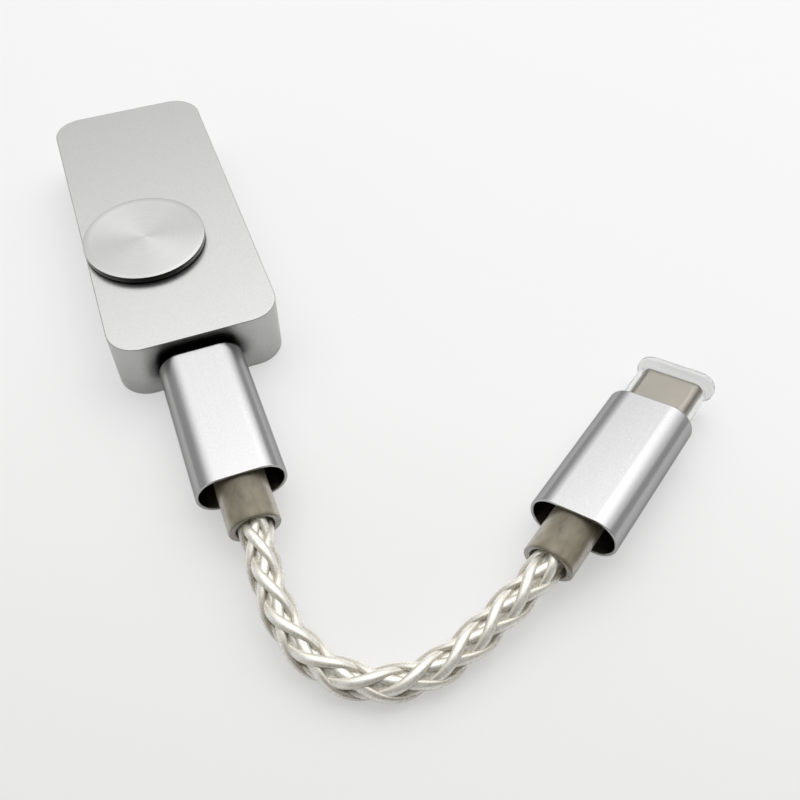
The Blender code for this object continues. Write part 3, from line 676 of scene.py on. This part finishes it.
# Painted shade: the braid's pale patches fade to dark olive towards the shell and at the cut end.
lit = smoke.math("MULTIPLY", smoke.ramp(on_sleeve, SLEEVE_END + 0.05 * MM, SLEEVE_END + 0.5 * MM, 0.35, 1.0),
                 smoke.ramp(on_sleeve, -24.5 * MM, -20.5 * MM, 1.0, 0.35))
braid_and_painted_shade = smoke.math("MULTIPLY", smoke.ramp(cloud, 0.28, 0.72), lit)
smoke.feed("Base Color", smoke.blend(braid_and_painted_shade, (0.14, 0.122, 0.08), (0.50, 0.45, 0.335)))
smoke.feed("Roughness", smoke.ramp(cloud, 0.3, 0.7, 0.24, 0.34))
smoke.set(Transmission_Weight=0.25, IOR=1.35)
print("nodes in the sleeves' finish:", len(smoke.tree.nodes))

# %% [markdown]
# The tip is rolled from thin stainless steel with a warm, slightly cloudy sheen. Broad noise in the
# colour and the roughness is enough, because the cap over the free tip softens anything finer.

# %% Finish of the tips
tip_steel = Finish("tip_steel")
tip_clouds = tip_steel.noise(300.0, 2.0)
tip_steel.feed("Base Color", tip_steel.blend(tip_clouds, (0.34, 0.312, 0.272), (0.375, 0.345, 0.305)))
tip_steel.feed("Roughness", tip_steel.ramp(tip_clouds, 0.3, 0.7, 0.30, 0.34))
tip_steel.set(Metallic=1.0)
print("nodes in the tips' finish:", len(tip_steel.tree.nodes))

# %% [markdown]
# A plug's three visible pieces are closed rings of loops: up the inside, over the end and down the
# outside. A Solidify modifier could give the same walls, but loops also give each mouth its own small
# edge, and that thin bright edge is what makes a can look like sheet metal. Local +Z runs to the tip, and
# zero is the front of the shell.

# %% Shapes of a plug
INNER_EDGE, SOFT_EDGE, OUTER_EDGE = 0.08 * MM, 0.035 * MM, 0.12 * MM  # steps of the shell's back edge
FRONT_EDGE = 0.2 * MM
TIP_GAP = 0.3 * MM  # between the shell's front and the tip
TIP_WALL = 0.25 * MM
TIP_ROOT = -5.7 * MM
SLEEVE_BORE, SLEEVE_X, SLEEVE_Y = 2.35 * MM, 3.2 * MM, 2.6 * MM


def slot_loop(inset, z):
    return rounded_loop(PLUG.x - 2 * inset, PLUG.y - 2 * inset, PLUG_CORNER - inset, z, steps=16)


def tip_loop(grow, z):
    return rounded_loop(TIP.x + 2 * grow, TIP.y + 2 * grow, TIP_CORNER + grow, z, steps=16)


def shell_loops():
    """Up the inside, over the thin back edge, down the outside, and in across the front to the tip."""
    loops = [slot_loop(PLUG_WALL, -PLUG_FRONT), slot_loop(PLUG_WALL, INNER_EDGE - PLUG.z)]
    loops += [slot_loop(PLUG_WALL - INNER_EDGE, -PLUG.z), slot_loop(OUTER_EDGE, -PLUG.z),
              slot_loop(SOFT_EDGE, SOFT_EDGE - PLUG.z), slot_loop(0.0, OUTER_EDGE - PLUG.z)]
    loops += [slot_loop(inset, -drop) for inset, drop in edge_steps(FRONT_EDGE)]
    return loops + [tip_loop(TIP_GAP, 0.0), tip_loop(TIP_GAP, -PLUG_FRONT)]


def sleeve_loops():
    """Down the outside, over the softened cut end, and back up the bore."""
    steps = ((0.0, SLEEVE_START), (0.0, SLEEVE_END + 0.15 * MM), (0.05 * MM, SLEEVE_END + 0.05 * MM),
             (0.15 * MM, SLEEVE_END))
    loops = [oval_loop(SLEEVE_X - inset, SLEEVE_Y - inset, z) for inset, z in steps]
    return loops + [round_loop(SLEEVE_BORE + 0.07 * MM, SLEEVE_END),
                    round_loop(SLEEVE_BORE, SLEEVE_END + 0.1 * MM), round_loop(SLEEVE_BORE, SLEEVE_START)]


def steel_loops():
    """Up the outside of the tip, over its rounded end, and down the inside."""
    steps = ((0.0, 0.12 * MM), (0.04 * MM, 0.03 * MM), (0.12 * MM, 0.0), (TIP_WALL, 0.05 * MM))
    return [tip_loop(0, TIP_ROOT), *(tip_loop(-inset, TIP.z - drop) for inset, drop in steps),
            tip_loop(-TIP_WALL, TIP_ROOT)]


print("loops of a shell, a sleeve and a tip:", len(shell_loops()), len(sleeve_loops()), len(steel_loops()))

# %% [markdown]
# The same three shapes now serve both plugs. Each is first leaned about its own axis in its mesh, and then
# placed by its object's matrix, so that the finish still runs along the plug's axis.

# %% The two plugs
def plug_pieces(which, place, lean):
    """The shell, sleeve and tip of one plug."""
    shell = skin(which + "_plug_shell_skin", shell_loops(), joined=True, sharp=38)
    sleeve = skin(which + "_sleeve_skin", sleeve_loops(), joined=True, sharp=50)
    tip = skin(which + "_plug_tip_skin", steel_loops(), joined=True, sharp=50)
    for made in (shell, sleeve, tip):
        made.data.transform(lean)
        made.matrix_world = place
    keep_faces_flat(shell)
    keep_faces_flat(tip)
    dress(shell, satin.material, "cable_body", "satin_aluminium", which + "_plug_shell")
    dress(sleeve, smoke.material, "cable_body", "smoke_sleeve", which + "_sleeve")
    dress(tip, tip_steel.material, "cable_body", "stainless_steel", which + "_plug_tip")


plug_pieces("near", near_place, near_lean)
plug_pieces("far", far_place, far_lean)

# %% [markdown]
# A cap protects the free tip. It is moulded from soft clear plastic: a thin sleeve over the metal, and a
# wider, milky flange at its closed end to pull it by. It is built like the tips, from the inside of its
# pocket out to the end face, so that light passes through two real walls.

# %% The cap
POCKET, SLEEVE, FLANGE = (8.65, 2.8), (9.45, 3.6), (10.7, 4.65)  # width and height in mm
POCKET_END, CAP_MOUTH, FLANGE_START, CAP_END = 7.3, 0.3, 7.5, 8.4


def cap_loop(size, inset, z):
    width, height = size[0] - 2 * inset, size[1] - 2 * inset
    return rounded_loop(width * MM, height * MM, height * 0.48 * MM, z * MM, steps=16)


cap = skin("milky_cap", [
    cap_loop(POCKET, 0, POCKET_END), cap_loop(POCKET, 0, CAP_MOUTH), cap_loop(SLEEVE, 0.05, CAP_MOUTH),
    cap_loop(SLEEVE, 0, CAP_MOUTH + 0.05), cap_loop(SLEEVE, 0, FLANGE_START),
    cap_loop(FLANGE, 0.1, FLANGE_START), cap_loop(FLANGE, 0.02, FLANGE_START + 0.08),
    cap_loop(FLANGE, 0, FLANGE_START + 0.2), cap_loop(FLANGE, 0, CAP_END - 0.2),
    cap_loop(FLANGE, 0.05, CAP_END - 0.05), cap_loop(FLANGE, 0.15, CAP_END)], sharp=50)
cap.data.transform(far_lean)
cap.matrix_world = far_place
keep_faces_flat(cap)

# %% [markdown]
# Clear soft plastic bends light only a little and scatters some of it. Full transmission with a slight
# roughness gives the sleeve. In the flange part of the light is scattered instead, which makes it milky,
# and the change between them follows the height along the cap. Two materials would leave a hard border.

# %% Finish of the cap
milky = Finish("milky_plastic")
haze = milky.noise(500.0)
up_cap = milky.part("Z", milky.place)
milky.feed("Base Color", milky.blend(haze, (0.93, 0.94, 0.93), (0.98, 0.98, 0.98)))
milky.feed("Roughness", milky.ramp(haze, 0.3, 0.7, 0.16, 0.22))
milky.feed("Transmission Weight", milky.ramp(up_cap, 7.2 * MM, 7.6 * MM, 1.0, 0.72))
milky.set(IOR=1.2)
dress(cap, milky.material, "cap_body", "clear_cap", "tip_cap")

# The lead's length is 77 mm in all, with 49 mm free between the sleeves.

print("declared lead, mm:", round(lead_length / MM, 1))

# %% [markdown]
# The parts that keep their plain nodes can still be seen through the sockets, behind the tips or from
# below: the base plate with its screws, the board and what is on it, and the inside of the plugs. Each
# could have a finish as long as the block's, but at their size two close colours in small uneven spots,
# with a slight relief, are enough. One function makes them all.

# %% Finishes of the kept nodes
def plain_finish(name, low, high, roughness, metallic, scale=2500.0):
    """A finish with small uneven spots of two close colours and a slight relief."""
    made = Finish(name)
    spots = made.noise(scale)
    made.feed("Base Color", made.blend(made.ramp(spots, 0.35, 0.65), low, high))
    made.feed("Roughness", made.ramp(spots, 0.3, 0.7, roughness - 0.05, roughness + 0.05))
    made.feed("Normal", made.bump(spots, 0.004 * MM, 0.6))
    made.set(Metallic=metallic)
    return made.material


kept = {
    "plate_aluminium": plain_finish("plate_aluminium_finish", (0.66, 0.66, 0.66), (0.76, 0.76, 0.76),
                                    0.42, 1.0),
    "stainless_steel": plain_finish("steel_finish", (0.60, 0.59, 0.56), (0.70, 0.69, 0.66), 0.28, 1.0),
    "screw_steel": plain_finish("black_steel_finish", (0.07, 0.07, 0.08), (0.13, 0.13, 0.14), 0.45, 1.0),
    "contact_metal": plain_finish("gold_finish", (0.78, 0.56, 0.23), (0.88, 0.68, 0.33), 0.28, 1.0),
    "solder_mask": plain_finish("board_finish", (0.01, 0.12, 0.07), (0.03, 0.20, 0.11), 0.40, 0.0, 900.0),
    "chip_black": plain_finish("chip_finish", (0.02, 0.02, 0.025), (0.05, 0.05, 0.055), 0.55, 0.0),
    "crystal_can": plain_finish("can_finish", (0.64, 0.63, 0.60), (0.74, 0.73, 0.70), 0.32, 1.0),
    "capacitor_case": plain_finish("capacitor_finish", (0.72, 0.46, 0.08), (0.82, 0.56, 0.13), 0.45, 0.0),
    "ferrite_grey": plain_finish("ferrite_finish", (0.09, 0.09, 0.10), (0.15, 0.15, 0.16), 0.60, 0.0),
    "black_plastic": plain_finish("moulding_finish", (0.02, 0.02, 0.02), (0.045, 0.045, 0.045), 0.45, 0.0),
}
print("finishes for kept nodes:", len(kept))

# %% [markdown]
# Each plain node comes with the name of a material slot, so the finishes can be handed out by that name
# instead of one by one, and no screw or chip is forgotten.

# %% Hand the finishes out
slot_of = {part["node"]: part["material_slot"] for part in frame["record"]["subparts"]}
shown = [name for name, node in frame["nodes"].items() if not node.hide_render]
for name in shown:
    if slot_of[name] in kept:
        node = frame["nodes"][name]
        node.data.materials.clear()
        node.data.materials.append(kept[slot_of[name]])
print("kept nodes that show:", len(shown))

# %% [markdown]
# The object lies on a plain pale table that reaches past every edge of the view. Its paper has a trace of
# fibres, and a painted shade makes its colour a little darker towards the near left corner, where less
# light falls. An even colour would be simpler, but no real table is lit so evenly.

# %% The table's paper
paper = Finish("table_paper")
across_table = paper.along((0.68, 0.73, 0.0), paper.place)
fibres = paper.math("MULTIPLY", paper.noise(14.0), 0.03)
# Painted shade: the paper's colour darkens towards the near left corner; the fibres are the paper's own.
painted_falloff_and_fibres = paper.ramp(paper.math("ADD", across_table, fibres), -0.06, 0.10)
paper.feed("Base Color", paper.blend(painted_falloff_and_fibres, (0.84, 0.84, 0.835), (0.925, 0.925, 0.925)))
paper.set(Roughness=0.9, Specular_IOR_Level=0.2)
print("nodes in the paper so far:", len(paper.tree.nodes))

# %% [markdown]
# A table that is only lit shows every shadow at full strength, and one that only glows shows none. Half
# of each, for the rays that see the table directly, keeps soft shadows that still say where the parts
# touch it. Metal sees a little of the glow too. More lamps would pale the shadows as well, but they
# would also burn out the metal.

# %% The table's glow
SEEN_SHARE, MIRRORED_SHARE = 0.5, 0.2
rays = paper.node("ShaderNodeLightPath").outputs
looked_at = paper.math("ADD", rays["Is Camera Ray"], rays["Is Transmission Ray"])
seen = paper.math("MULTIPLY", looked_at, SEEN_SHARE)
share = paper.math("MULTIPLY_ADD", rays["Is Glossy Ray"], MIRRORED_SHARE, seen)
# The glow itself is painted dimmer towards the near left, as painted shade.
glow_tone = paper.ramp(paper.along((0.51, 0.86, 0.0), paper.place), -0.075, -0.018)
glow = paper.node("ShaderNodeEmission", {"Strength": 1.0},
                  {"Color": paper.blend(glow_tone, (0.855, 0.855, 0.845), (1.0, 1.0, 1.0))})
mixed = paper.node("ShaderNodeMixShader", {}, {0: share, 1: paper.shader.outputs["BSDF"],
                                               2: glow.outputs["Emission"]})
paper.tree.links.new(mixed.outputs["Shader"], paper.tree.nodes["Material Output"].inputs["Surface"])
print("shares of glow, seen and mirrored:", SEEN_SHARE, MIRRORED_SHARE)

# %% [markdown] The table itself is one face, three metres square, at height zero.

# %% The table
HALF_TABLE = 1.5
table_edges = [[Vector((x, -HALF_TABLE, 0)), Vector((x, HALF_TABLE, 0))] for x in (-HALF_TABLE, HALF_TABLE)]
table = skin("table", table_edges, caps=(False, False), wrap=False)
table.data.materials.append(paper.material)

# %% [markdown]
# Polished metal is only as interesting as what it mirrors. The light is a big soft sky: a bright window
# above and behind the object, dimmer near the horizon, and dark on the camera's own side. The window
# fills the tops with light, and the dark side turns the walls that face the camera deep grey. A picture
# of a real studio would do this too, but two smooth patches are easier to aim.

# %% The sky
surroundings = bpy.data.worlds.new("soft_sky")
bpy.context.scene.world = surroundings
surroundings.use_nodes = True
surroundings.node_tree.nodes.clear()
sky = NodeTree(surroundings.node_tree)
looking = sky.node("ShaderNodeTexCoord").outputs["Generated"]


def angle_from(azimuth, elevation):
    """The angle in radians between a direction of the sky and a fixed one. Azimuth 0 is +Y, 90 is +X."""
    a, e = radians(azimuth), radians(elevation)
    return sky.math("ARCCOSINE", sky.along((sin(a) * cos(e), cos(a) * cos(e), sin(e)), looking))


window = sky.ramp(angle_from(15, 72), radians(18), radians(58), 1.90, 0.46, curve="SMOOTHSTEP")
dark_side = sky.ramp(angle_from(180, 40), radians(32), radians(57), 0.10, 1.0, curve="SMOOTHSTEP")
background = sky.node("ShaderNodeBackground", {"Color": (1.0, 1.0, 1.0, 1.0)},
                      {"Strength": sky.math("MULTIPLY", window, dark_side)})
sky.node("ShaderNodeOutputWorld", {}, {"Surface": background.outputs["Background"]})
print("nodes in the sky:", len(sky.tree.nodes))

# %% [markdown]
# One broad lamp from the right fills what the dark side takes away, and gives the shadows a direction. A
# Sun would do, but its shadows are as hard as noon. Its share in the metal's highlights is turned down,
# so that it doesn't draw a second fan on the disc.

# %% The side lamp
lamp_data = bpy.data.lights.new("side_lamp", "AREA")
lamp_data.shape = "SQUARE"
lamp_data.size = 0.85
lamp_data.energy = 1.25
lamp_data.specular_factor = 0.4
side_lamp = bpy.data.objects.new("side_lamp", lamp_data)
bpy.context.scene.collection.objects.link(side_lamp)
side_lamp.location = (0.38, 0.07, 0.59)
aim = Vector((0.02, -0.03, 0)) - side_lamp.location
side_lamp.rotation_euler = aim.to_track_quat("-Z", "Y").to_euler()
print("lamp to object in metres:", round(aim.length, 2))
